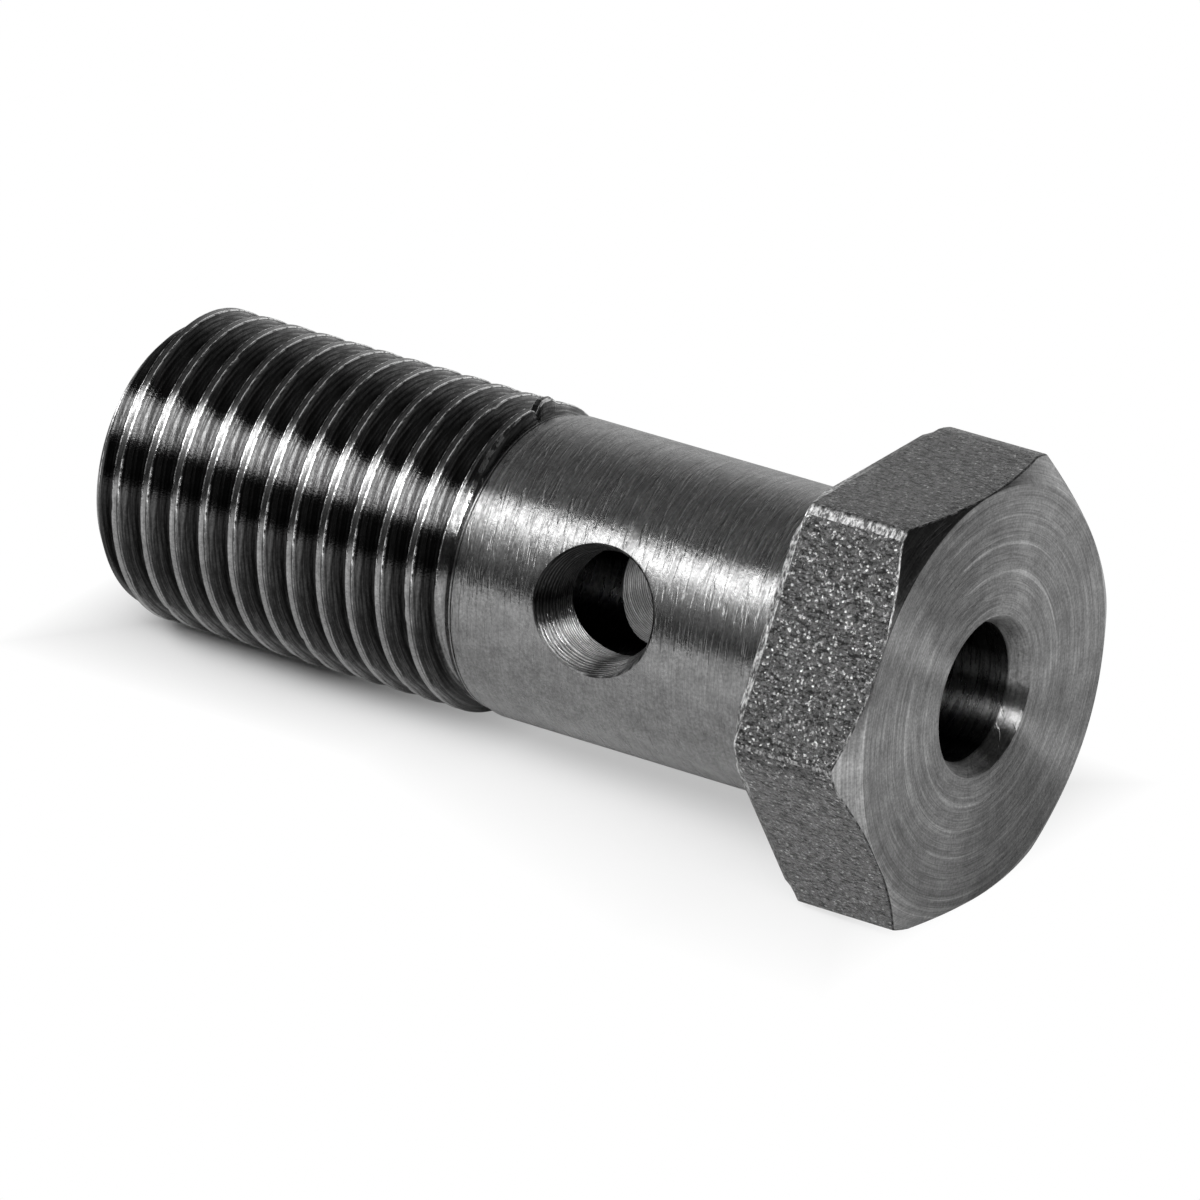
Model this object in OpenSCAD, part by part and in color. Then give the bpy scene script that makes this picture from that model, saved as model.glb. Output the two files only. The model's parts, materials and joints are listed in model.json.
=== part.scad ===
// Banjo bolt, 3/8-24 UNF, with a bore through its head and one cross port.
// It is turned and drilled from one hexagon bar, so it is one solid.
// Millimetres. The bolt lies on the plane z = 0 as it comes to rest there:
// on the seat edge of one hexagon flat and on the first full crest of its thread.

/* [Head] */
// Width across the hexagon's flats
hex_af = 12.55; // [11.8:0.05:13.2]
// Height of the head, from its seat to its end face
head_h = 4; // [3:0.1:6]
// How much is turned off each corner of the hexagon, along the radius
corner_trim = 0.1; // [0.05:0.01:0.2]
// Height of the chamfer at the end face, measured at a corner
face_chamfer = 0.52; // [0.4:0.01:0.7]
// Height of the chamfer at the seat, measured at a corner
seat_chamfer = 0.22; // [0.1:0.01:0.35]
// Slope of both head chamfers, from the plane of the face
head_chamfer_angle = 30; // [25:1:40]

/* [Shank] */
// Diameter of the plain shank
shank_d = 9.1; // [9:0.05:9.25]
// Length of the plain shank, from the seat to its lower edge
shank_l = 11.25; // [11.2:0.05:16]
// Width of the chamfer on the shank's lower edge
shank_edge = 0.1; // [0.05:0.01:0.15]
// Radius of the fillet between the shank and the seat
seat_fillet = 0.25; // [0.1:0.05:0.5]

/* [Thread] */
// Diameter over the thread's crests
thread_d = 9.45; // [9.3:0.01:9.5]
// Number of threads to the inch
threads_per_inch = 24; // [20:1:28]
// Length of the threaded end, from the shank's lower edge to the tip
thread_l = 13.45; // [9:0.05:20]
// Width of the flat on each crest
crest_flat = 0.24; // [0.1:0.01:0.3]
// Width of the flat at each root
root_flat = 0.11; // [0.05:0.01:0.2]
// Angle between the thread's flanks
flank_angle = 60; // [55:1:62]
// Turn of the thread about the axis, which sets where its crests stand
thread_turn = 80; // [0:10:350]
// Diameter of the run-out relief beside the shank
relief_d = 8.7; // [8.5:0.05:8.75]
// Width of the run-out relief
relief_w = 0.6; // [0.4:0.05:1]
// Diameter left at the tip, inside its 45 degree chamfer
tip_d = 8; // [7.4:0.05:8.1]

/* [Passages] */
// Diameter of the bore along the axis
bore_d = 4.15; // [3.4:0.05:4.6]
// Diameter of the bore's mouth in the end face
mouth_d = 4.8; // [4.7:0.05:6]
// Angle of the mouth's countersink, side to side
mouth_angle = 60; // [45:5:90]
// Diameter of the bore's mouth at the tip, with a 90 degree countersink
tip_mouth_d = 4.65; // [4.65:0.05:5.6]
// Diameter of the cross port, drilled through both walls of the shank
port_d = 3.2; // [2.5:0.05:3.6]
// Diameter of the port's tapered mouth, on its axis at the shank's surface
port_mouth_d = 3.95; // [3.65:0.05:4.1]
// Depth of the port's tapered mouth, along its axis
port_mouth_depth = 1.6; // [1.2:0.05:1.8]
// Distance of the port's tapered mouth below the seat
port_from_seat = 6.75; // [4:0.05:7]
// Slant of the port from square to the axis, so that it comes out nearer the thread
port_slant = 13; // [0:0.5:13]
// Direction of the cross port round the axis, from the upper flat
port_turn = 72.5; // [0:0.5:180]

/* [Hidden] */
$fn = 96;

inch = 25.4;
// Facets round one turn of the thread
thread_facets = 36;
// How far a cutter or a joined piece reaches past the face that it meets
overlap = 0.5;

shank_r = shank_d / 2;
crest_r = thread_d / 2;
relief_r = relief_d / 2;
tip_r = tip_d / 2;
bore_r = bore_d / 2;
port_r = port_d / 2;
port_mouth_r = port_mouth_d / 2;
// Distances along the port's axis, from the bolt's axis: to the shank's surface, to the end
// of the tapered mouth, and to the end of the cutter, which is clear of the surface
port_surface = shank_r / cos(port_slant);
port_taper_end = port_surface - port_mouth_depth;
port_cutter_end = port_surface + 2 * overlap;
port_taper = (port_mouth_r - port_r) / port_mouth_depth;
port_crossing_z = -(port_from_seat + shank_r * tan(port_slant));
// The shank's surface starts and ends its turn at this angle after the port's direction
seam_after_port = 112.5;
// Turn that sets a flat of the hexagon across the x axis
hex_turn = 30;
corner_r = hex_af / 2 / cos(hex_turn) - corner_trim;
face_r = corner_r - face_chamfer / tan(head_chamfer_angle);
seat_r = corner_r - seat_chamfer / tan(head_chamfer_angle);

// Lengths along the axis, where 0 is the seat and the head is above it
tip_z = -(shank_l + thread_l);
relief_z = -(shank_l + relief_w);
tip_chamfer_l = crest_r - tip_r;

// The thread's profile along the axis, from one crest's start to the next
thread_pitch = inch / threads_per_inch;
flank_w = (thread_pitch - crest_flat - root_flat) / 2;
root_r = crest_r - flank_w / tan(flank_angle / 2);
profile_z = [0, crest_flat, crest_flat + flank_w, crest_flat + flank_w + root_flat];
profile_points = len(profile_z);
// The helix starts below the tip and ends inside the shank
helix_start_z = tip_z - 1.5 * thread_pitch;
helix_turns = ceil((-shank_l + 2 * overlap - helix_start_z) / thread_pitch) + 1;
helix_steps = helix_turns * thread_facets;

// Lying at rest: a crest starts at this height on the side that faces the ground, and the
// first one that the tip's chamfer leaves whole touches it
down_crest_z = helix_start_z - thread_pitch * thread_turn / 360;
full_z = tip_z + tip_chamfer_l;
contact_turn = ceil((full_z - crest_flat - down_crest_z) / thread_pitch);
contact_z = max(full_z, down_crest_z + contact_turn * thread_pitch);
tilt = atan((hex_af / 2 - crest_r) / -contact_z);
lift = hex_af / 2 * cos(tilt);
high_x = head_h * cos(tilt) + min(face_r, hex_af / 2) * sin(tilt);
low_x = tip_z * cos(tilt) - tip_r * sin(tilt);

// How far the groove has run out at height z, from 0 to 1, over its last turn before the relief
function fade(z) = min(1, max(0, (z - relief_z) / thread_pitch + 1));

// Radius of the profile's point j at height z: two points on the crest, two on the root
function thread_r(j, z) = j < 2 ? crest_r : root_r + (crest_r - root_r) * fade(z);

// Point j of the profile at step i along the helix
function thread_point(i, j) =
    let (
        angle = 360 * i / thread_facets,
        z = helix_start_z + thread_pitch * i / thread_facets + profile_z[j],
        r = thread_r(j, z)
    )
    [r * cos(angle), r * sin(angle), z];

// Index of a point, where the profile's end is the start of the next turn's profile
function at(i, j) =
    j < profile_points ? i * profile_points + j : (i + thread_facets) * profile_points;

// Solid with a right-hand thread over its whole length, and a rough end above and below
module thread_rod() {
    last = helix_steps - thread_facets;
    low_centre = (helix_steps + 1) * profile_points;
    high_centre = low_centre + 1;
    points = concat(
        [for (i = [0 : helix_steps], j = [0 : profile_points - 1]) thread_point(i, j)],
        [[0, 0, helix_start_z + thread_pitch / 2]],
        [[0, 0, helix_start_z + thread_pitch * (last / thread_facets + 0.5)]]
    );
    skin = [
        for (i = [0 : last - 1], j = [0 : profile_points - 1], half = [0, 1])
            half == 0 ? [at(i, j), at(i, j + 1), at(i + 1, j + 1)]
                      : [at(i, j), at(i + 1, j + 1), at(i + 1, j)]
    ];
    low_cap = concat(
        [for (i = [0 : thread_facets - 1]) [at(i, 0), at(i + 1, 0), low_centre]],
        [for (j = [0 : profile_points - 1]) [at(0, j + 1), at(0, j), low_centre]]
    );
    high_cap = concat(
        [for (i = [last : helix_steps - 1]) [at(i + 1, 0), at(i, 0), high_centre]],
        [for (j = [0 : profile_points - 1]) [at(last, j), at(last, j + 1), high_centre]]
    );
    polyhedron(points = points, faces = concat(skin, low_cap, high_cap), convexity = 12);
}

// The threaded end: the rod trimmed to its tip, its chamfer and the run-out relief
module threaded_end() {
    outer_r = crest_r + overlap;
    intersection() {
        rotate([0, 0, thread_turn]) thread_rod();
        rotate_extrude() polygon([
            [0, tip_z],
            [tip_r, tip_z],
            [outer_r, tip_z + outer_r - tip_r],
            [outer_r, relief_z - (outer_r - relief_r)],
            [relief_r, relief_z],
            [relief_r, -shank_l + overlap],
            [0, -shank_l + overlap]
        ]);
    }
}

// The plain shank with its lower edge chamfered and a fillet at the seat
module shank() {
    rotate([0, 0, port_turn + seam_after_port]) rotate_extrude() polygon([
        [0, -shank_l],
        [shank_r - shank_edge, -shank_l],
        [shank_r, -shank_l + shank_edge],
        [shank_r, overlap],
        [0, overlap]
    ]);
    rotate_extrude() difference() {
        translate([shank_r - overlap, -seat_fillet]) square([seat_fillet + overlap, seat_fillet + overlap]);
        translate([shank_r + seat_fillet, -seat_fillet]) circle(r = seat_fillet);
    }
}

// The hexagon head, turned to a round at its corners and chamfered at both faces
module head() {
    intersection() {
        rotate([0, 0, hex_turn]) cylinder(d = hex_af / cos(hex_turn), h = head_h, $fn = 6);
        rotate_extrude() polygon([
            [0, 0],
            [seat_r, 0],
            [corner_r, seat_chamfer],
            [corner_r, head_h - face_chamfer],
            [face_r, head_h],
            [0, head_h]
        ]);
    }
}

// Cone that opens the bore upwards to the diameter d at z = 0
module countersink(d, angle) {
    depth = (d / 2 - bore_r) / tan(angle / 2);
    rotate_extrude() polygon([
        [0, -depth],
        [bore_r, -depth],
        [d / 2, 0],
        [d / 2, overlap],
        [0, overlap]
    ]);
}

// The bore from the tip to the end face, with a countersunk mouth at each end
module bore_cut() {
    translate([0, 0, tip_z - overlap]) cylinder(r = bore_r, h = head_h - tip_z + 2 * overlap);
    translate([0, 0, head_h]) countersink(mouth_d, mouth_angle);
    translate([0, 0, tip_z]) mirror([0, 0, 1]) countersink(tip_mouth_d, 90);
}

// The cross port through both walls of the shank, with a tapered mouth on one side
module port_cut() {
    cutter_r = port_r + port_taper * (port_cutter_end - port_taper_end);
    translate([0, 0, port_crossing_z]) rotate([0, 90 + port_slant, port_turn])
        rotate_extrude() polygon([
            [0, -port_cutter_end],
            [cutter_r, -port_cutter_end],
            [port_r, -port_taper_end],
            [port_r, port_cutter_end],
            [0, port_cutter_end]
        ]);
}

// The bolt on its own axis, with the seat at z = 0 and the head above it
module bolt() {
    difference() {
        union() {
            head();
            shank();
            threaded_end();
        }
        bore_cut();
        port_cut();
    }
}

// The bolt laid down, with the centre of its bounding box above the origin
module banjo_bolt() {
    color("dimgray")
        translate([-(high_x + low_x) / 2, 0, lift])
            rotate([0, 90 - tilt, 0])
                bolt();
}

banjo_bolt();
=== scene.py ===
"""The looks of the banjo bolt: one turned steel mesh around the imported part.

The bolt is built in its own frame, in millimetres: `a` runs along the axis from 0 at the seat
to the head's end face (+) and the thread's tip (-), `theta` is the angle round the axis from
the upper flat's normal towards the photographer, and `r` is the radius. The camera, the floor
and the lamps stand in the frame of the CAD, where +Z is up.
"""

import json
import math

import bmesh
import bpy
import numpy as np
from mathutils import Matrix, Quaternion, Vector


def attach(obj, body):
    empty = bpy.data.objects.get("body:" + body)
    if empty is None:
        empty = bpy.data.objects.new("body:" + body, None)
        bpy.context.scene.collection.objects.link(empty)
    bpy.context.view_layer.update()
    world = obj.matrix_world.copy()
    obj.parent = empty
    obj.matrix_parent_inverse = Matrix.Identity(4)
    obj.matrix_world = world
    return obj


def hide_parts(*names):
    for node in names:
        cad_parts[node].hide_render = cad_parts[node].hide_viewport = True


MM = 0.001
MICRON = 0.001 * MM
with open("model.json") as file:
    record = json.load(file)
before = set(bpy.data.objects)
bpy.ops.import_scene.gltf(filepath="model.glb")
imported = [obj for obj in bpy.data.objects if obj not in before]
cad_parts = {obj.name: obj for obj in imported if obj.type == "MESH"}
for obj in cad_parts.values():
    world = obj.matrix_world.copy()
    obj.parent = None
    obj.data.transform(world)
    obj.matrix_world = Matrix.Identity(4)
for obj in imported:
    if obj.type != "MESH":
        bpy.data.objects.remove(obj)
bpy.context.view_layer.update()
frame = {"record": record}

# Sizes in millimetres. Angles round the axis are in degrees, and others in radians.
# The mounts give the bolt's axis, its seat and these sizes
mounts = {m["name"]: m for m in frame["record"]["mounts"]}


def point(name):
    return Vector(mounts[name]["pos_m"]) / MM


def size(name, key):
    return mounts[name]["dims"][key]


AXIS = Vector(mounts["hex_drive"]["axis"])
UP = Vector((-AXIS.z, 0, AXIS.x))
SIDE = Vector((0, -1, 0))
HEAD_H = size("hex_drive", "length_mm")
SEAT = point("hex_drive") - HEAD_H * AXIS

SHANK_R = size("shank", "r_mm")
CREST_R = size("thread", "r_mm")
BORE_R = size("bore", "r_mm")
PORT_R = size("port", "r_mm")
PORT_A = (point("port") - SEAT).dot(AXIS)
TIP_A = (point("thread") - SEAT).dot(AXIS)
RELIEF_A = TIP_A + size("thread", "length_mm")
PORT_AXIS = Vector(mounts["port"]["axis"])
PORT_THETA = math.degrees(math.atan2(PORT_AXIS.dot(SIDE), PORT_AXIS.dot(UP)))
PORT_SLANT = math.asin(PORT_AXIS.dot(AXIS))

# Sizes of the CAD that no mount states
HEX_AF = 12.55
CORNER_TRIM = 0.1
FACE_CHAMFER = 0.52
SEAT_CHAMFER = 0.22
HEAD_CHAMFER_ANGLE = math.radians(30)
HALF_SECTOR = 30
CORNER_R = HEX_AF / 2 / math.cos(math.radians(HALF_SECTOR)) - CORNER_TRIM
CONE_SLOPE = math.tan(HEAD_CHAMFER_ANGLE)
FACE_R = CORNER_R - FACE_CHAMFER / CONE_SLOPE
SEAT_R = CORNER_R - SEAT_CHAMFER / CONE_SLOPE

SHANK_L = 11.25
SEAT_FILLET = 0.25
RELIEF_R = 4.35
NECK_R = 4.46

PITCH = 25.4 / 24
CREST_FLAT = 0.24
ROOT_FLAT = 0.11
FLANK_SLOPE = math.tan(math.radians(30))
HALF_CREST = CREST_FLAT / 2
FLANK_W = (PITCH - CREST_FLAT - ROOT_FLAT) / 2
ROOT_R = CREST_R - FLANK_W / FLANK_SLOPE
# At theta 0 a crest's centre stands here, and others stand whole pitches from it
CREST_A = 0.585
TIP_R = 4.0

MOUTH_R = 2.4
MOUTH_HALF_ANGLE = math.radians(30)
TIP_MOUTH_R = 2.325
PORT_MOUTH_R = 1.975
PORT_MOUTH_DEPTH = 1.6

# Wear and rounded edges, which the CAD leaves out
CREST_ROUND = 0.016
CREST_DISH = 0.008
DISH_EDGE_W = 0.04
ROOT_ROUND = 0.06
NICKS = 140
NICK_LENGTH = 0.06
BURR_A = -12.15
BURR_THETA, BURR_WIDTH, BURR_LENGTH, BURR_HEIGHT = -12, 5, 0.2, 0.2
NOTCH_THETA, NOTCH_WIDTH, NOTCH_LENGTH, NOTCH_DEPTH = -5, 1.5, 0.3, 0.25
PORT_EDGE = 0.06
CREASE_W = 0.35
WORN_CORNER_LEAN = 14
WORN_CORNER_DEPTH = 0.03
WORN_SEAT_W, WORN_SEAT_DEPTH = 0.22, 0.05
CORNER_ROUND = 0.02
FRONT_EDGE, FACE_EDGE, MOUTH_EDGE, THROAT_EDGE = 0.04, 0.03, 0.03, 0.04
# A rounded edge takes no more than this share of the head's chamfer
EDGE_SHARE = 0.4
# The chamfer is at least this wide, also at the middle of a flat
MIN_CHAMFER_W = 0.012

# The mesh: columns of faces round the axis, one of which starts at the port's patch
COLUMNS = 204
STEP = 360 / COLUMNS
SHANK_HALF_PATCH = 30
THETA_0 = (PORT_THETA - SHANK_HALF_PATCH) % STEP
ROUND = THETA_0 + STEP * np.arange(COLUMNS)
MERGE_DISTANCE = 0.0002 * MM
SHARP_ANGLE = math.radians(24)
SLOTS = ["turned", "thread", "flats", "face", "bore", "edge", "port"]


def placed(name, data):
    """A new object of the scene that shows the data."""
    thing = bpy.data.objects.new(name, data)
    bpy.context.scene.collection.objects.link(thing)
    return thing


def direction(azimuth, elevation):
    """A way of length 1, from angles in degrees."""
    a, e = math.radians(azimuth), math.radians(elevation)
    return Vector((math.cos(a) * math.cos(e), math.sin(a) * math.cos(e), math.sin(e)))


class Shell:
    """Vertices and quads of one closed mesh; seams are merged when it is finished."""

    def __init__(self):
        self.points = []
        self.faces = []
        self.slots = []
        self.count = 0

    def grid(self, a, r, theta, slot, closed=True, worn=None):
        """A surface through rows of points; each row runs round the axis. The columns that
        `worn` picks out are worn edges."""
        a, r, theta = np.broadcast_arrays(a, r, theta)
        t = np.radians(theta)
        xyz = (np.array(SEAT) + a[..., None] * np.array(AXIS)
               + (r * np.cos(t))[..., None] * np.array(UP)
               + (r * np.sin(t))[..., None] * np.array(SIDE))
        rows, cols = a.shape
        index = self.count + np.arange(rows * cols).reshape(rows, cols)
        self.points.append(xyz.reshape(-1, 3) * MM)
        self.count += rows * cols
        if closed:
            index = np.hstack([index, index[:, :1]])
        quads = np.stack([index[:-1, :-1], index[:-1, 1:], index[1:, 1:], index[1:, :-1]], -1)
        self.faces.append(quads.reshape(-1, 4))
        picked = np.zeros(quads.shape[1], bool) if worn is None else worn
        slots = np.where(picked, SLOTS.index("edge"), SLOTS.index(slot))
        self.slots.append(np.tile(slots, rows - 1))

    def turned(self, profile, slot):
        """A surface of revolution through (a, r) points."""
        p = np.array(profile, float)
        self.grid(p[:, :1], p[:, 1:], ROUND[None, :], slot)

    def finish(self, name, materials):
        mesh = bpy.data.meshes.new(name)
        mesh.from_pydata(np.vstack(self.points).tolist(), [], np.vstack(self.faces).tolist())
        mesh.polygons.foreach_set("material_index", np.concatenate(self.slots))
        for material in materials:
            mesh.materials.append(material)
        bm = bmesh.new()
        bm.from_mesh(mesh)
        bmesh.ops.remove_doubles(bm, verts=bm.verts, dist=MERGE_DISTANCE)
        bmesh.ops.recalc_face_normals(bm, faces=bm.faces)
        open_edges = sum(1 for e in bm.edges if len(e.link_faces) != 2)
        print("bolt mesh:", len(bm.faces), "faces,", open_edges, "edges not shared by two faces")
        bm.to_mesh(mesh)
        bm.free()
        mesh.shade_smooth()
        mesh.set_sharp_from_angle(angle=SHARP_ANGLE)
        return placed(name, mesh)


def mix(start, end, share):
    return start * (1 - share) + end * share


def smooth_min(x, y, k):
    """The lower of two values, rounded over the width k where they cross."""
    h = np.clip(0.5 + 0.5 * (y - x) / k, 0, 1)
    return y + (x - y) * h - k * h * (1 - h)


def smooth_max(x, y, k):
    return -smooth_min(-x, -y, k)


def half_turn(angle):
    """The same angle, between -180 and 180 degrees."""
    return (angle + 180) % 360 - 180


def mound(turn, width, along, length, power=2):
    """1 at a place, and 0 well beyond `width` degrees or `length` millimetres from it."""
    return np.exp(-(turn / width) ** power - (along / length) ** 2)


def rounded(corner, before, after, reach, steps=4):
    """Points round a corner of a profile, from `reach` before it to `reach` after it."""
    corner = np.array(corner)
    first = corner + reach * np.array(before)
    last = corner + reach * np.array(after)
    return [(1 - t) ** 2 * first + 2 * t * (1 - t) * corner + t * t * last
            for t in np.linspace(0, 1, steps)]


def stacked(rows_of_points):
    """The rows' a, r and theta, each as one array."""
    return [np.array([row[n] for row in rows_of_points]) for n in range(3)]


shell = Shell()

# The thread: rows of its profile from a crest's centre to the next one's, close together
# where it bends, which climb along the helix
FLANK_END = HALF_CREST + FLANK_W
HALF_PROFILE = [0, HALF_CREST - 0.04, HALF_CREST - 0.02, HALF_CREST - 0.004, HALF_CREST + 0.012,
                HALF_CREST + 0.035, HALF_CREST + 0.2, FLANK_END - 0.05, FLANK_END - 0.01,
                FLANK_END + 0.02]
OFFSETS = np.array(HALF_PROFILE + [PITCH - s for s in HALF_PROFILE[:0:-1]])
RUN_OUT = 0.15
RELIEF_SLOPE = 3


def thread_profile(offset):
    """Radius of the thread at an axial distance from a crest's centre."""
    d = np.abs((offset + PITCH / 2) % PITCH - PITCH / 2)
    flank = CREST_R - (d - HALF_CREST) / FLANK_SLOPE
    crest = CREST_R - CREST_DISH * np.clip((HALF_CREST - d) / DISH_EDGE_W, 0, 1)
    return smooth_max(smooth_min(flank, crest, CREST_ROUND), ROOT_R, ROOT_ROUND)


def nicked(r, a, theta, start):
    """The thread with nicks along its crests' edges, where the bolt was handled."""
    rng = np.random.default_rng(7)
    for _ in range(NICKS):
        nick_a = rng.uniform(TIP_A, RELIEF_A)
        nick_theta = rng.uniform(0, 360)
        climb = PITCH * nick_theta / 360
        turn = round((nick_a - start - climb) / PITCH)
        centre = start + turn * PITCH + climb + rng.choice([-1, 1]) * HALF_CREST
        width = rng.uniform(1.0, 3.5)
        depth = rng.uniform(0.015, 0.05)
        r = r - depth * mound(half_turn(theta - nick_theta), width, a - centre, NICK_LENGTH)
    return r


def add_thread():
    start = TIP_A - 1.5 * PITCH
    start -= (start - CREST_A) % PITCH
    turns = math.ceil((RELIEF_A - start) / PITCH) + 1
    turn, row = np.divmod(np.arange(turns * len(OFFSETS))[:, None], len(OFFSETS))
    theta = (THETA_0 + STEP * np.arange(COLUMNS + 1))[None, :]
    helix_a = start + PITCH * turn + OFFSETS[row] + PITCH * theta / 360
    r = nicked(thread_profile(OFFSETS[row]), helix_a, theta, start)
    # what lies beyond the ends is laid on them, and the groove runs out beside the relief
    a = np.clip(helix_a, TIP_A, RELIEF_A)
    r = np.where(helix_a == a, r, CREST_R)
    fade = np.clip((a - RELIEF_A) / RUN_OUT + 1, 0, 1)
    r = r + (RELIEF_R - r) * fade * (r < RELIEF_R)
    tip_cone = TIP_R + (a - TIP_A)
    relief_wall = RELIEF_R + RELIEF_SLOPE * (RELIEF_A - a)
    r = np.minimum(r, np.minimum(tip_cone, relief_wall))
    # a burr stands up at the end of the last crest, beside a notch
    swing = half_turn(theta)
    burr = BURR_HEIGHT * mound(swing - BURR_THETA, BURR_WIDTH, a - BURR_A, BURR_LENGTH, power=4)
    notch = NOTCH_DEPTH * mound(swing - NOTCH_THETA, NOTCH_WIDTH, a - BURR_A, NOTCH_LENGTH)
    r = r + (burr - notch) * (a < RELIEF_A)
    shell.grid(a, r, theta, "thread", closed=False)


# Neck and shank
EDGE_END_A = -SHANK_L + 0.14
SHANK_PATCH_REACH, BORE_PATCH_REACH = 3.6, 2.6
SHANK_PATCH = (EDGE_END_A, PORT_A + SHANK_PATCH_REACH)
BORE_PATCH = (PORT_A - BORE_PATCH_REACH, PORT_A + BORE_PATCH_REACH)
PATCH_COLS, PATCH_ROWS = 34, 76
RELIEF_CUT = 0.13
NECK_CUT = 0.05


def add_neck():
    """Two shallow run-out cuts, then the neck and the shank's worn lower edge."""
    after_relief = [(0, RELIEF_R), (0.03, RELIEF_R - 0.10), (0.05, RELIEF_R - RELIEF_CUT),
                    (0.15, RELIEF_R - RELIEF_CUT), (0.19, NECK_R - 0.02), (0.21, NECK_R),
                    (0.25, NECK_R), (0.265, NECK_R - NECK_CUT), (0.285, NECK_R - NECK_CUT),
                    (0.30, NECK_R), (0.33, NECK_R + 0.005)]
    round_shank_end = [(-0.025, NECK_R + 0.005), (-0.005, NECK_R - 0.01), (0.005, NECK_R + 0.01),
                       (0.02, SHANK_R - 0.03), (0.045, SHANK_R - 0.008), (0.08, SHANK_R)]
    profile = [(RELIEF_A + x, r) for x, r in after_relief]
    profile += [(-SHANK_L + x, r) for x, r in round_shank_end]
    shell.turned(profile + [(EDGE_END_A, SHANK_R)], "turned")


def add_shank():
    """The shank between the port's patch and the head, with its fillet at the seat."""
    shell.turned([(a, SHANK_R) for a in np.linspace(SHANK_PATCH[1], -SEAT_FILLET, 14)], "turned")
    fillet = [(-SEAT_FILLET * (1 - math.sin(t)), SHANK_R + SEAT_FILLET * (1 - math.cos(t)))
              for t in np.linspace(0, math.pi / 2, 6)]
    shell.turned(fillet, "turned")


# The cross port: its ends are set into patches of the shank and of the bore
LOOP = 2 * (PATCH_COLS + PATCH_ROWS)
BORE_COLS = COLUMNS // 2
BORE_ROWS = LOOP // 2 - BORE_COLS
PORT_TAPER = (PORT_MOUTH_R - PORT_R) / PORT_MOUTH_DEPTH
TAPER_END = SHANK_R / math.cos(PORT_SLANT) - PORT_MOUTH_DEPTH
ROUND_PORT = 2 * math.pi * np.arange(LOOP) / LOOP


def columns(first, count):
    return THETA_0 + STEP * (first + np.arange(count + 1))


def patch_outline(first, cols, rows, span):
    """Pairs of a and theta round a patch, from the middle of its head-side edge."""
    theta = columns(first, cols)
    along = np.linspace(*span, rows + 1)
    mid = cols // 2
    loop = [(span[1], t) for t in theta[mid:]]
    loop += [(a, theta[-1]) for a in along[-2::-1]]
    loop += [(span[0], t) for t in theta[-2::-1]]
    loop += [(a, theta[0]) for a in along[1:]]
    loop += [(span[1], t) for t in theta[1:mid]]
    return np.array(loop)


def blend_rows(outline, rim, cylinder_r, count):
    """Rows of points on a cylinder between a patch's outline and a hole's rim."""
    s = np.linspace(0, 1, count)[:, None]
    return mix(outline[:, 0], rim[0], s), cylinder_r, mix(outline[:, 1], rim[2], s)


class Port:
    """One end of the slanted port, where t runs out along the port's own axis."""

    def __init__(self, theta, slant, tapered):
        self.theta = theta
        self.sin = math.sin(slant)
        self.cos = math.cos(slant)
        self.tapered = tapered

    def wall_r(self, t):
        return PORT_R + (PORT_TAPER * np.maximum(0, t - TAPER_END) if self.tapered else 0 * t)

    def at(self, t, rho):
        """(a, r, theta) of the points at distance t along the port's axis and rho from it."""
        depth = t * self.cos - rho * np.cos(ROUND_PORT) * self.sin
        side = rho * np.sin(ROUND_PORT)
        a = PORT_A + t * self.sin + rho * np.cos(ROUND_PORT) * self.cos
        return a, np.hypot(depth, side), self.theta + np.degrees(np.arctan2(side, depth))

    def reach(self, cylinder_r, extra=0.0):
        """Where the port's wall, widened by extra, meets a cylinder round the bolt's axis."""
        t = np.full(LOOP, cylinder_r)
        for _ in range(30):
            rho = self.wall_r(t) + extra
            level = np.sqrt(cylinder_r ** 2 - (rho * np.sin(ROUND_PORT)) ** 2)
            t = (level + rho * np.cos(ROUND_PORT) * self.sin) / self.cos
        return t

    def add_patch(self):
        """The shank round the port's mouth, and what is left of it beside that patch."""
        first = round((self.theta - SHANK_HALF_PATCH - THETA_0) / STEP)
        beside = columns(first + PATCH_COLS, COLUMNS // 2 - PATCH_COLS)
        rows_a = np.linspace(*SHANK_PATCH, PATCH_ROWS + 1)[:, None]
        shell.grid(rows_a, SHANK_R, beside[None, :], "turned", closed=False)
        outline = patch_outline(first, PATCH_COLS, PATCH_ROWS, SHANK_PATCH)
        t = self.reach(SHANK_R, PORT_EDGE)
        rim = self.at(t, self.wall_r(t) + PORT_EDGE)
        shell.grid(*blend_rows(outline, rim, SHANK_R, 12), "turned")

    def add_edge(self):
        """The rounded edge between the shank and the port's wall. Gives where the wall starts."""
        rows = []
        for turn in np.linspace(0, math.pi / 2, 5):
            extra = PORT_EDGE * (1 - math.sin(turn))
            t = self.reach(SHANK_R, extra) - PORT_EDGE * (1 - math.cos(turn))
            rows.append(self.at(t, self.wall_r(t) + extra))
        shell.grid(*stacked(rows), "port")
        return t

    def add_wall(self, outer):
        """The wall from its edge to the bore, and the bore round its inner rim."""
        inner = self.reach(BORE_R)
        wall = [mix(outer, TAPER_END, s) for s in np.linspace(0, 1, 9)]
        wall += [mix(TAPER_END, inner, s) for s in np.linspace(0, 1, 6)[1:]]
        shell.grid(*stacked([self.at(t, self.wall_r(t)) for t in wall]), "port")
        first = round((self.theta - 90 - THETA_0) / STEP)
        outline = patch_outline(first, BORE_COLS, BORE_ROWS, BORE_PATCH)
        shell.grid(*blend_rows(outline, self.at(inner, PORT_R), BORE_R, 7), "bore")


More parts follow.
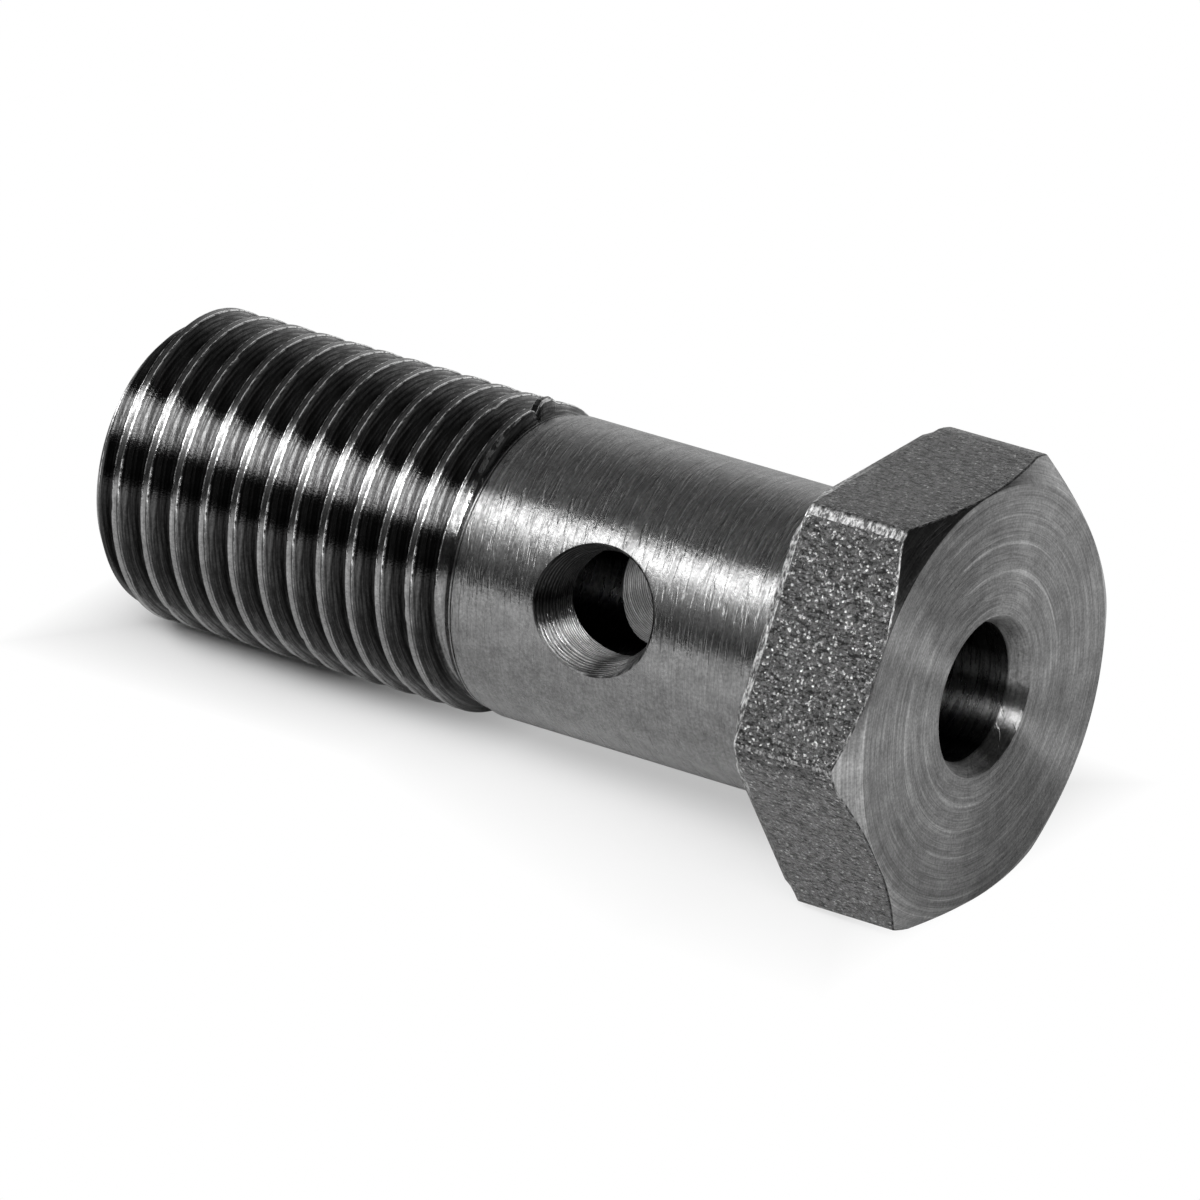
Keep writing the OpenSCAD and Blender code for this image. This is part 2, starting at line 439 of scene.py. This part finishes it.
def add_ports():
    for port in (Port(PORT_THETA, PORT_SLANT, True), Port(PORT_THETA + 180, -PORT_SLANT, False)):
        port.add_patch()
        port.add_wall(port.add_edge())


# The head: its columns bunch at the hexagon's creases, and each sixth starts at a crease
FLAT_COLUMNS = 28
SECTOR_COLUMNS = COLUMNS // 6
# The head's first column meets the one this many before the shank's first column
SHIFT = 16


def sector_angles():
    """Column angles of one sixth of the head, from the start of its flat's crease."""
    crease = math.degrees(math.acos(HEX_AF / 2 / CORNER_R))
    flat = np.linspace(-crease + CREASE_W, crease - CREASE_W, FLAT_COLUMNS)
    gap = 2 * (HALF_SECTOR - crease)
    third = (gap - 2 * CREASE_W) / 3
    corner = crease + np.array([CREASE_W, CREASE_W + third, CREASE_W + 2 * third, gap - CREASE_W])
    return np.concatenate([[-crease], flat, [crease], corner])


def from_middle(theta, middle):
    """The angle from the nearest direction that is whole sixths of a turn from `middle`."""
    return (theta - middle + HALF_SECTOR) % (2 * HALF_SECTOR) - HALF_SECTOR


HEAD_THETA = np.concatenate([sector_angles() + 2 * HALF_SECTOR * n for n in range(6)])
SHANK_THETA = THETA_0 + STEP * (np.arange(COLUMNS) - SHIFT)


def head_outline():
    """The head's radius at each column: the hexagon, turned off and worn at its corners."""
    flat = HEX_AF / 2 / np.cos(np.radians(from_middle(HEAD_THETA, 0)))
    lean = math.radians(WORN_CORNER_LEAN)
    corner = np.radians(from_middle(HEAD_THETA, HALF_SECTOR))
    worn = (CORNER_R - WORN_CORNER_DEPTH) * math.cos(lean) / np.cos(corner - lean)
    turned_off = smooth_min(flat, np.full_like(flat, CORNER_R), CORNER_ROUND)
    return smooth_min(turned_off, worn, CORNER_ROUND)


SIDE_R = head_outline()
COS_C = math.cos(HEAD_CHAMFER_ANGLE)
SIN_C = math.sin(HEAD_CHAMFER_ANGLE)
# Where the chamfer of the end face meets the side, and its length down its slope
TOP_A = HEAD_H - np.maximum(0, SIDE_R - FACE_R) * CONE_SLOPE
CONE_L = np.maximum(SIDE_R - FACE_R, MIN_CHAMFER_W) / COS_C
SEAT_EDGE_R = np.minimum(SIDE_R - WORN_SEAT_DEPTH, SEAT_R)
SIDE_START = WORN_SEAT_W + 0.02
rings = []


def ring(a, r, theta=HEAD_THETA):
    rings.append(np.broadcast_arrays(a, r, theta))


def close_rings(slot, worn=None):
    """Makes the rings so far a surface, and keeps the last one for the next."""
    shell.grid(*stacked(rings), slot, worn=worn)
    del rings[:-1]


def worn_columns():
    """The upper corner is worn over its whole width, and the next one only at its crease."""
    sector, column = np.divmod(np.arange(COLUMNS), SECTOR_COLUMNS)
    crease = FLAT_COLUMNS + 1
    past_flat = column >= crease
    return ((sector == 0) & past_flat) | ((sector == 1) & past_flat & (column < crease + 2))


def add_underside():
    fillet_r = SHANK_R + SEAT_FILLET
    ring(0, fillet_r, SHANK_THETA)
    for s in (0.15, 0.4, 0.7, 0.9):
        ring(0, mix(fillet_r, SEAT_EDGE_R, s), mix(SHANK_THETA, HEAD_THETA, s))
    ring(0, SEAT_EDGE_R - 0.02)
    close_rings("face")


def add_side():
    """The worn edge along the seat, then the flats and corners."""
    ring(0.006, SEAT_EDGE_R + 0.002)
    ring(WORN_SEAT_W * 0.5, (SEAT_EDGE_R + SIDE_R) / 2 + 0.003)
    ring(WORN_SEAT_W - 0.03, SIDE_R - 0.006)
    ring(SIDE_START, SIDE_R)
    close_rings("edge")
    side_l = TOP_A - np.minimum(FRONT_EDGE, EDGE_SHARE * CONE_L) - SIDE_START
    for s in np.linspace(0, 1, 6)[1:]:
        ring(SIDE_START + side_l * s, SIDE_R)
    close_rings("flats", worn_columns())


def add_end_face():
    """The edge of the chamfer, the chamfer itself, its rim and the face."""
    reach = np.minimum(FRONT_EDGE, EDGE_SHARE * CONE_L)
    rim_reach = np.minimum(FACE_EDGE, EDGE_SHARE * CONE_L)
    for t in (1 / 3, 2 / 3, 1):
        ring(TOP_A - reach * (1 - t) ** 2 + reach * SIN_C * t * t, SIDE_R - reach * COS_C * t * t)
    close_rings("edge")
    for s in (0.33, 0.67, 1):
        d = reach + (CONE_L - reach - rim_reach) * s
        ring(TOP_A + d * SIN_C, SIDE_R - d * COS_C)
    rim_r = SIDE_R - CONE_L * COS_C
    for t in (1 / 3, 2 / 3, 1):
        ring(HEAD_H - rim_reach * SIN_C * (1 - t) ** 2,
             rim_r + rim_reach * COS_C * (1 - t) ** 2 - rim_reach * t * t)
    for s in np.linspace(0, 1, 9)[1:]:
        ring(HEAD_H, mix(rim_r - rim_reach, MOUTH_R + MOUTH_EDGE, s), mix(HEAD_THETA, SHANK_THETA, s))
    close_rings("face")


def add_bore():
    """The bore from its mouth in the head to the tip, with the tip's own face."""
    mouth_l = (MOUTH_R - BORE_R) / math.tan(MOUTH_HALF_ANGLE)
    slope = np.array((math.cos(MOUTH_HALF_ANGLE), math.sin(MOUTH_HALF_ANGLE)))
    mouth = rounded((HEAD_H, MOUTH_R), (0, 1), -slope, MOUTH_EDGE)
    mouth += rounded((HEAD_H - mouth_l, BORE_R), slope, (-1, 0), THROAT_EDGE)
    shell.turned(mouth, "face")
    upper = np.linspace(HEAD_H - mouth_l - THROAT_EDGE, BORE_PATCH[1], 14)
    shell.turned([(a, BORE_R) for a in upper], "bore")
    tip_l = TIP_MOUTH_R - BORE_R
    lower = np.linspace(BORE_PATCH[0], TIP_A + tip_l, 16)
    shell.turned([(a, BORE_R) for a in lower], "bore")
    face_start_r = TIP_MOUTH_R + 0.01
    shell.turned([(TIP_A + tip_l, BORE_R), (TIP_A + 0.02, TIP_MOUTH_R - 0.02),
                  (TIP_A, face_start_r)], "face")
    shell.turned([(TIP_A, r) for r in np.linspace(face_start_r, TIP_R, 8)], "face")


add_thread()
add_neck()
add_shank()
add_ports()
add_underside()
add_side()
add_end_face()
add_bore()


# Materials
class Graph:
    """Short ways to build the nodes of a material or of the world."""

    def __init__(self, owner):
        self.owner = owner
        owner.use_nodes = True
        self.tree = owner.node_tree
        self.tree.nodes.clear()

    def put(self, socket, value):
        if isinstance(value, bpy.types.NodeSocket):
            self.tree.links.new(value, socket)
        else:
            socket.default_value = value

    def node(self, kind, inputs=None, **settings):
        n = self.tree.nodes.new(kind)
        for key, value in settings.items():
            setattr(n, key, value)
        for key, value in (inputs or {}).items():
            self.put(n.inputs[key], value)
        return n

    def math(self, operation, first, *others):
        """Works on one value alone, or takes in each further value in its turn."""
        if not others:
            return self.node("ShaderNodeMath", {0: first}, operation=operation).outputs[0]
        for value in others:
            first = self.node("ShaderNodeMath", {0: first, 1: value}, operation=operation).outputs[0]
        return first

    def plus(self, *values):
        return self.math("ADD", *values)

    def minus(self, value, less):
        return self.math("SUBTRACT", value, less)

    def times(self, *values):
        return self.math("MULTIPLY", *values)

    def highest(self, *values):
        return self.math("MAXIMUM", *values)

    def vector(self, operation, *values):
        n = self.node("ShaderNodeVectorMath", dict(enumerate(values)), operation=operation)
        return n.outputs["Value" if operation == "DOT_PRODUCT" else "Vector"]

    def scaled(self, vector, factor):
        n = self.node("ShaderNodeVectorMath", {"Vector": vector, "Scale": factor}, operation="SCALE")
        return n.outputs["Vector"]

    def combine(self, x, y, z):
        return self.node("ShaderNodeCombineXYZ", {0: x, 1: y, 2: z}).outputs[0]

    def split(self, vector):
        return self.node("ShaderNodeSeparateXYZ", {0: vector}).outputs

    def noise(self, vector, scale, detail, roughness):
        n = self.node("ShaderNodeTexNoise", {"Vector": vector, "Scale": scale, "Detail": detail,
                                             "Roughness": roughness})
        return n.outputs["Fac"]

    def remap(self, value, low, high, at_low, at_high):
        """`at_low` at low and short of it, `at_high` at high and past it, a straight line between."""
        n = self.node("ShaderNodeMapRange", {"Value": value, "From Min": low, "From Max": high,
                                             "To Min": at_low, "To Max": at_high})
        return n.outputs["Result"]

    def vary(self, noise, share, spread=0.2):
        """A factor from `share` under 1 to `share` over it, for noise within `spread` of 0.5."""
        return self.remap(noise, 0.5 - spread, 0.5 + spread, 1 - share, 1 + share)

    def position(self):
        return self.node("ShaderNodeNewGeometry").outputs["Position"]

    def grey(self, value):
        return self.node("ShaderNodeCombineColor", {0: value, 1: value, 2: value}).outputs[0]


class Steel(Graph):
    """Steel with a tone, a height in micrometres and a normal, in a frame along an axis."""

    def __init__(self, name, tone, origin=SEAT, axis=AXIS):
        super().__init__(bpy.data.materials.new(name))
        self.tone = tone
        self.normal = None
        self.origin = tuple(origin * MM)
        self.axis = tuple(axis)
        turn = (0, -math.asin(axis.z), math.atan2(axis.y, axis.x))
        # position in mm: along the axis, the two ways across, and round it
        self.place = self.node("ShaderNodeMapping", {
            "Vector": self.node("ShaderNodeTexCoord").outputs["Object"],
            "Location": self.origin, "Rotation": turn, "Scale": (MM, MM, MM),
        }, vector_type="TEXTURE").outputs["Vector"]
        self.along, self.y, self.z = self.split(self.place)
        squares = self.plus(self.times(self.y, self.y), self.times(self.z, self.z))
        self.radius = self.math("SQRT", squares)
        self.cos = self.math("DIVIDE", self.z, self.radius)
        self.sin = self.math("DIVIDE", self.y, self.radius)

    def shade(self, *factors):
        self.tone = self.times(self.tone, *factors)

    def raise_by(self, height):
        self.height = self.plus(self.height, height)

    def facing(self, theta):
        """Cosine of the angle between a point's direction from the axis and theta."""
        t = math.radians(theta)
        return self.minus(self.times(self.cos, math.cos(t)), self.times(self.sin, math.sin(t)))

    def helix_step(self):
        """Distance in mm across the thread, from 0 at a root's centre to a pitch at the next."""
        theta = self.math("ARCTAN2", self.times(self.y, -1.0), self.z)
        turns = self.minus(self.math("DIVIDE", self.along, PITCH),
                           self.math("DIVIDE", theta, 2 * math.pi))
        # whole turns are added so that the count stays above 0 down to the tip
        turns = self.plus(turns, 0.5 - CREST_A / PITCH + 40)
        return self.times(self.math("FRACT", turns), PITCH)

    def lay(self):
        """Direction of the turning marks, round the axis."""
        arm = self.vector("SUBTRACT", self.position(), self.origin)
        return self.vector("NORMALIZE", self.vector("CROSS_PRODUCT", self.axis, arm))

    def outward(self):
        """The way straight out from the axis."""
        return self.vector("NORMALIZE", self.vector("CROSS_PRODUCT", self.lay(), self.axis))

    def leant(self, way, share):
        """The surface's normal, leant by a share towards another direction."""
        own = self.node("ShaderNodeNewGeometry").outputs["Normal"]
        own = self.scaled(own, self.minus(1.0, share))
        return self.vector("NORMALIZE", self.vector("ADD", own, self.scaled(way, share)))

    def streaks(self, per_mm, round_it, lean, detail):
        """Fine marks round the axis, which vary along `step` and less so round the axis."""
        leant = self.plus(self.step, self.times(self.sin, lean))
        return self.noise(self.combine(self.times(leant, per_mm), self.times(self.cos, round_it),
                                       self.times(self.sin, round_it)), 1.0, detail, 0.6)

    def finish(self, roughness, turned=False):
        """The material. Turned steel stretches its highlights across the marks."""
        relief = self.node("ShaderNodeBump", {"Strength": 1.0, "Distance": MICRON,
                                              "Height": self.height})
        if self.normal is not None:
            self.put(relief.inputs["Normal"], self.normal)
        inputs = {"Base Color": self.grey(self.tone), "Metallic": 1.0, "Roughness": roughness,
                  "Normal": relief.outputs["Normal"]}
        if turned:
            inputs["Anisotropic"] = 1.0
            inputs["Anisotropic Rotation"] = 0.25
            inputs["Tangent"] = self.lay()
        shader = self.node("ShaderNodeBsdfPrincipled", inputs)
        self.node("ShaderNodeOutputMaterial", {"Surface": shader.outputs[0]})
        return self.owner


def turned_material(name, across, tone, roughness, marks, grain, contrast,
                    touch=None, origin=SEAT, axis=AXIS):
    """Turned steel. `across` is what the fine marks change along, `marks` and `grain` are the
    heights of the marks and of the speckle in micrometres, `contrast` is their tone's, and
    `touch` adds what only this surface has."""
    g = Steel(name, tone, origin, axis)
    g.step = g.helix_step() if across == "helix" else getattr(g, across)
    g.fine = g.streaks(per_mm=24, round_it=2.5, lean=0.0, detail=3.0)
    g.broad = g.streaks(per_mm=7, round_it=2.0, lean=0.1, detail=2.0)
    scratch = g.streaks(per_mm=9, round_it=3.5, lean=0.9, detail=2.0)
    scratch = g.remap(scratch, 0.54, 0.62, 0.0, 1.0)
    speckle = g.noise(g.place, 11.0, 3.0, 0.65)
    cloud = g.noise(g.place, 1.8, 3.0, 0.6)
    g.shade(g.vary(cloud, 0.18), g.vary(g.fine, contrast), g.vary(speckle, 0.28))
    g.height = g.plus(g.times(g.fine, 0.6 * marks), g.times(g.broad, marks),
                      g.times(speckle, grain), g.times(scratch, -0.8 * marks))
    if touch:
        touch(g)
    return g.finish(g.remap(g.broad, 0.3, 0.7, roughness - 0.05, roughness + 0.06), turned=True)


def touch_thread(g):
    """Pale crests with bright edges, and dark flanks with fine marks, under painted light and
    shade: a painted highlight on crests and flanks in the band lit by the lamps, painted
    shade on the crests above and below that band and deeper in the grooves, painted light
    at the bottom of the crests and on the head-side flank near the crest low on the bolt,
    and a painted glint on the edges that is strongest on top. The cosine that sets these
    painted bands is 1 on top of the bolt and 0 half way down its side."""
    headward = g.minus(g.step, PITCH / 2)
    from_crest = g.math("ABSOLUTE", headward)
    low = g.remap(g.cos, 0.12, 0.28, 1.0, 0.0)

    def edge_line(distance):
        return g.times(g.remap(distance, HALF_CREST - 0.05, HALF_CREST - 0.025, 0.0, 1.0),
                       g.remap(distance, HALF_CREST + 0.005, HALF_CREST + 0.025, 1.0, 0.0))

    # painted light on the head-side flank near the crest, low on the bolt
    headward_painted_light = g.times(g.math("GREATER_THAN", headward, 0.0),
                     g.remap(headward, HALF_CREST, HALF_CREST + 0.22, 1.2, -0.3))
    # flanks: painted shade deeper in the groove, fine marks, and a painted highlight in the band lit
    # by the lamps
    flank = g.times(g.remap(from_crest, HALF_CREST, HALF_CREST + 0.26, 0.5, 0.2),
                    g.remap(g.fine, 0.42, 0.62, 0.5, 1.8),
                    g.remap(g.cos, 0.49, 0.6, 0.4, 1.65),
                    g.plus(1.0, g.times(headward_painted_light, low)))
    # painted shade on the crest's head side, low on the bolt
    shaded = g.times(low, g.remap(headward, 0.03, 0.07, 0.0, 0.8))
    # crests: painted light at the bottom, a painted highlight in the lamps' band, and painted shade
    # between and on top
    pale = g.times(g.remap(g.cos, 0.2, 0.3, 1.15, 0.45),
                   g.remap(g.cos, 0.46, 0.58, 1.0, 2.4),
                   g.remap(g.cos, 0.68, 0.82, 1.0, 0.4),
                   g.minus(1.0, shaded))
    crest = g.remap(from_crest, HALF_CREST - 0.025, HALF_CREST - 0.005, 1.0, 0.0)
    surface = g.plus(g.times(flank, g.minus(1.0, crest)), g.times(crest, pale))
    burr = g.streaks(per_mm=14, round_it=18.0, lean=0.0, detail=2.0)
    # dotted edges, with a painted glint that is strongest on top
    dots = g.times(g.remap(burr, 0.42, 0.62, 0.1, 2.4), g.remap(g.cos, 0.0, 0.3, 0.8, 2.6))
    both_edges = edge_line(from_crest)
    # a painted glint along the crest edges, strongest on the head-side edge and on top of the bolt
    bright = g.plus(g.times(edge_line(headward), g.remap(g.cos, 0.1, 0.3, 0.15, 1.5)),
                    g.times(both_edges, g.remap(g.cos, 0.1, 0.3, 0.1, 0.4)))
    g.shade(g.plus(surface, g.times(bright, dots)))
    g.raise_by(g.times(both_edges, burr, 25.0))
    g.normal = g.leant(g.outward(), g.remap(g.cos, 0.45, 0.62, 0.35, 0.9))


def touch_face(g):
    """Rings from the facing cut, and a chamfer with painted shade near the top and painted light
    elsewhere.
    """
    rings = g.noise(g.combine(g.times(g.step, 5.0), g.times(g.sin, 0.4), g.times(g.cos, 0.4)),
                    1.0, 3.0, 0.7)
    on_chamfer = g.math("GREATER_THAN", g.step, FACE_R)
    # painted shade on the chamfer near the top, and painted light further round
    chamfer_painted_shading = g.times(on_chamfer, g.remap(g.facing(25), 0.45, 0.9, -0.5, 0.7))
    g.shade(g.vary(rings, 0.13, 0.15), g.remap(rings, 0.62, 0.65, 1.0, 1.35), g.minus(1.0, chamfer_painted_shading))


def touch_bore(g):
    """Painted shade over most of the wall, and a painted band of light on the wall that is seen
    through the mouth.
    """
    # painted shade on most of the wall and a painted band of light
    g.shade(g.remap(g.facing(-120), 0.75, 0.97, 0.2, 1.5))


def touch_port(g):
    """Ripples from the drill, a painted glint in the tapered mouth, and painted light on the far
    wall and on one side of the hole, with painted shade on the other side.
    """
    ripple_w = 0.17
    wavy = g.plus(g.step, g.times(g.broad, 0.12))
    ripple = g.math("SINE", g.times(wavy, 2 * math.pi / ripple_w))
    in_mouth = g.remap(g.step, 1.0, 1.5, 0.0, 1.0)
    # a painted glint in the lower left of the tapered mouth
    painted_glint = g.remap(g.facing(140), 0.7, 0.97, 0.35, 3.6)
    # painted light on the far wall and on one side of the hole, painted shade on the other side, and
    # the painted glint in the mouth
    g.shade(g.remap(ripple, -1.0, 1.0, 0.45, 1.55), g.remap(g.step, -3.0, 0.0, 3.0, 1.0),
            g.remap(g.facing(-125), 0.6, 0.95, 0.5, 2.0),
            g.plus(1.0, g.times(in_mouth, g.minus(painted_glint, 1.0))))
    g.raise_by(g.times(ripple, 10.0))
    g.normal = g.leant(g.axis, g.times(in_mouth, 0.69))


def flats_material():
    """Drawn bar with a fine pitted grain, painted glints from the grain's facets that are
    strongest on the front flat, and painted shade that leaves the front flat dimmer than the others.
    """
    g = Steel("hex_flats", 1.0)
    grain = g.noise(g.place, 11.0, 4.0, 0.7)
    cloud = g.noise(g.place, 4.5, 3.0, 0.6)
    pits = g.noise(g.vector("MULTIPLY", g.place, (4.0, 10.0, 10.0)), 1.0, 3.0, 0.6)
    cell = g.node("ShaderNodeTexVoronoi", {"Vector": g.place, "Scale": 16.0}).outputs
    front = g.remap(g.facing(60), 0.82, 0.88, 0.0, 1.0)
    facet = g.math("POWER", g.split(cell["Color"])[0], 10.0)
    # painted glints from the grain's facets, strongest on the front flat
    painted_sparkle = g.times(g.remap(front, 0.0, 1.0, 1.5, 3.8), facet)
    # painted shade leaves the front flat dimmer than the others
    g.shade(g.remap(cloud, 0.3, 0.7, 0.10, 0.19), g.vary(grain, 0.5, 0.15),
            g.plus(g.remap(front, 0.0, 1.0, 0.75, 0.62), painted_sparkle),
            g.remap(pits, 0.38, 0.5, 0.3, 1.15), g.remap(front, 0.0, 1.0, 1.4, 1.05))
    g.height = g.plus(g.times(grain, 40.0), g.times(cell["Distance"], 16.0))
    return g.finish(g.remap(grain, 0.3, 0.7, 0.24, 0.38))


def edge_material():
    """Bare metal where an edge has worn, palest beside the worn edge of the seat, with painted
    light round theta 55 and painted shade further round.
    """
    g = Steel("worn_edge", 1.0)
    grain = g.noise(g.vector("MULTIPLY", g.place, (12.0, 5.0, 5.0)), 1.0, 3.0, 0.65)
    # painted light round theta 55 and painted shade further round
    g.shade(g.remap(grain, 0.42, 0.62, 0.08, 0.52), g.remap(g.facing(55), 0.55, 0.85, 0.3, 1.0),
            g.remap(g.along, WORN_SEAT_W, 0.4, 1.7, 1.0))
    g.height = g.times(grain, 30.0)
    return g.finish(g.remap(grain, 0.3, 0.7, 0.3, 0.4))


materials = {
    "turned": turned_material("turned_shank", "along", tone=0.27, roughness=0.25, marks=11.0,
                              grain=4.0, contrast=0.1),
    "thread": turned_material("turned_thread", "helix", tone=0.28, roughness=0.24, marks=2.5,
                              grain=4.0, contrast=0.25, touch=touch_thread),
    "flats": flats_material(),
    "face": turned_material("turned_face", "radius", tone=0.27, roughness=0.36, marks=7.0,
                            grain=3.0, contrast=0.3, touch=touch_face),
    # the bore's low tone is painted shade inside the hole
    "bore": turned_material("turned_bore", "along", tone=0.16, roughness=0.28, marks=3.0,
                            grain=4.0, contrast=0.2, touch=touch_bore),
    "edge": edge_material(),
    "port": turned_material("drilled_port", "along", tone=0.22, roughness=0.30, marks=6.0,
                            grain=4.0, contrast=0.4, touch=touch_port,
                            origin=point("port"), axis=PORT_AXIS),
}

bolt = shell.finish("bolt_steel", [materials[slot] for slot in SLOTS])
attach(bolt, "root")
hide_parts("banjo_bolt")

# The camera, in millimetres and degrees, as fitted to outlines in the photograph
CAMERA_AIM = Vector((0.902, 0, 5.071))
CAMERA_DISTANCE = 377.73
CAMERA_AZIMUTH, CAMERA_ELEVATION, CAMERA_ROLL = -56.762, 26.395, 4.19

camera = bpy.data.cameras.new("camera")
camera.sensor_width = 36
camera.lens = 390
camera.clip_start, camera.clip_end = 0.01, 20
eye = placed("camera", camera)
bpy.context.scene.camera = eye
toward_eye = direction(CAMERA_AZIMUTH, CAMERA_ELEVATION)
eye_place = (CAMERA_AIM + CAMERA_DISTANCE * toward_eye) * MM
eye_turn = toward_eye.to_track_quat("Z", "Y") @ Quaternion((0, 0, 1), math.radians(CAMERA_ROLL))
eye.matrix_world = Matrix.Translation(eye_place) @ eye_turn.to_matrix().to_4x4()


# Floor and light
def floor_material():
    """White paper. The camera sees the shadow beside the bolt, and pure white further off."""
    g = Graph(bpy.data.materials.new("floor"))
    pale = g.node("ShaderNodeBsdfDiffuse", {"Color": (0.9, 0.9, 0.9, 1)})
    white = g.node("ShaderNodeEmission", {"Color": (1, 1, 1, 1), "Strength": 1.0})
    ray = g.node("ShaderNodeLightPath").outputs
    x, y, _ = g.split(g.scaled(g.position(), 1 / MM))
    # in front of a line under the bolt, white returns over a width that grows towards the head
    before_line = g.minus(y, g.times(x, 0.105))
    width = g.remap(x, -4.0, 8.0, -4.5, -9.5)
    before = g.remap(before_line, 0.0, width, g.remap(x, -8.0, -1.0, 0.0, 0.45), 1.0)
    white_share = g.highest(before, g.remap(y, 2.0, 10.0, 0.0, 1.0),
                            g.remap(x, 6.0, 14.5, 0.0, 1.0), g.remap(x, -13.5, -16.5, 0.0, 1.0))
    # for glossy rays the floor glows white in front of the bolt and beyond its head: a painted
    # reflection that the bolt mirrors
    mirrored = g.highest(g.remap(y, -6.0, -18.0, 0.0, 0.8), g.remap(x, 15.0, 30.0, 0.0, 0.8))
    seen = g.plus(ray["Is Camera Ray"], ray["Is Transmission Ray"])
    share = g.plus(g.times(seen, white_share), g.times(mirrored, ray["Is Glossy Ray"]))
    mixed = g.node("ShaderNodeMixShader", {0: share, 1: pale.outputs[0], 2: white.outputs[0]})
    g.node("ShaderNodeOutputMaterial", {"Surface": mixed.outputs[0]})
    return g.owner


bpy.ops.mesh.primitive_plane_add(size=12, location=(0, 0, 0))
floor = bpy.context.object
floor.name = "floor"
floor.data.materials.append(floor_material())


def softbox(name, azimuth, elevation, width, height, radiance, distance=1.0):
    """An area lamp that faces the bolt, in metres, given the brightness of its surface."""
    light = bpy.data.lights.new(name, "AREA")
    light.shape = "RECTANGLE"
    light.size, light.size_y = width, height
    light.energy = radiance * math.pi * width * height
    lamp = placed(name, light)
    place = distance * direction(azimuth, elevation)
    lamp.location = place
    lamp.rotation_euler = place.to_track_quat("Z", "Y").to_euler()
    lamp.visible_camera = False


def studio_world():
    """A dim room with a pale wall behind the bolt and a band of light before it."""
    g = Graph(bpy.data.worlds.new("studio"))
    x, y, height = g.split(g.node("ShaderNodeTexCoord").outputs["Generated"])
    level_way = g.vector("NORMALIZE", g.combine(x, y, 0.0))

    def toward(azimuth):
        cosine = g.vector("DOT_PRODUCT", level_way, tuple(direction(azimuth, 0)))
        return g.remap(cosine, 0.2, 0.9, 0.0, 1.0)

    wall = g.times(toward(130), g.remap(height, 0.0, 0.74, 1.05, 0.05))
    band = g.times(g.remap(height, 0.16, 0.6, 0.0, 0.8), g.remap(height, 0.66, 0.78, 1.0, 0.0),
                   toward(-135))
    room = 0.045
    shade = g.grey(g.plus(wall, band, room))
    background = g.node("ShaderNodeBackground", {"Color": shade, "Strength": 1.0})
    g.node("ShaderNodeOutputWorld", {"Surface": background.outputs[0]})
    return g.owner


softbox("front", azimuth=-110, elevation=49.5, width=1.5, height=0.29, radiance=4.5)
softbox("right", azimuth=-45, elevation=41, width=0.6, height=0.26, radiance=5.5)
bpy.context.scene.world = studio_world()
bpy.context.scene.view_settings.view_transform = "Standard"
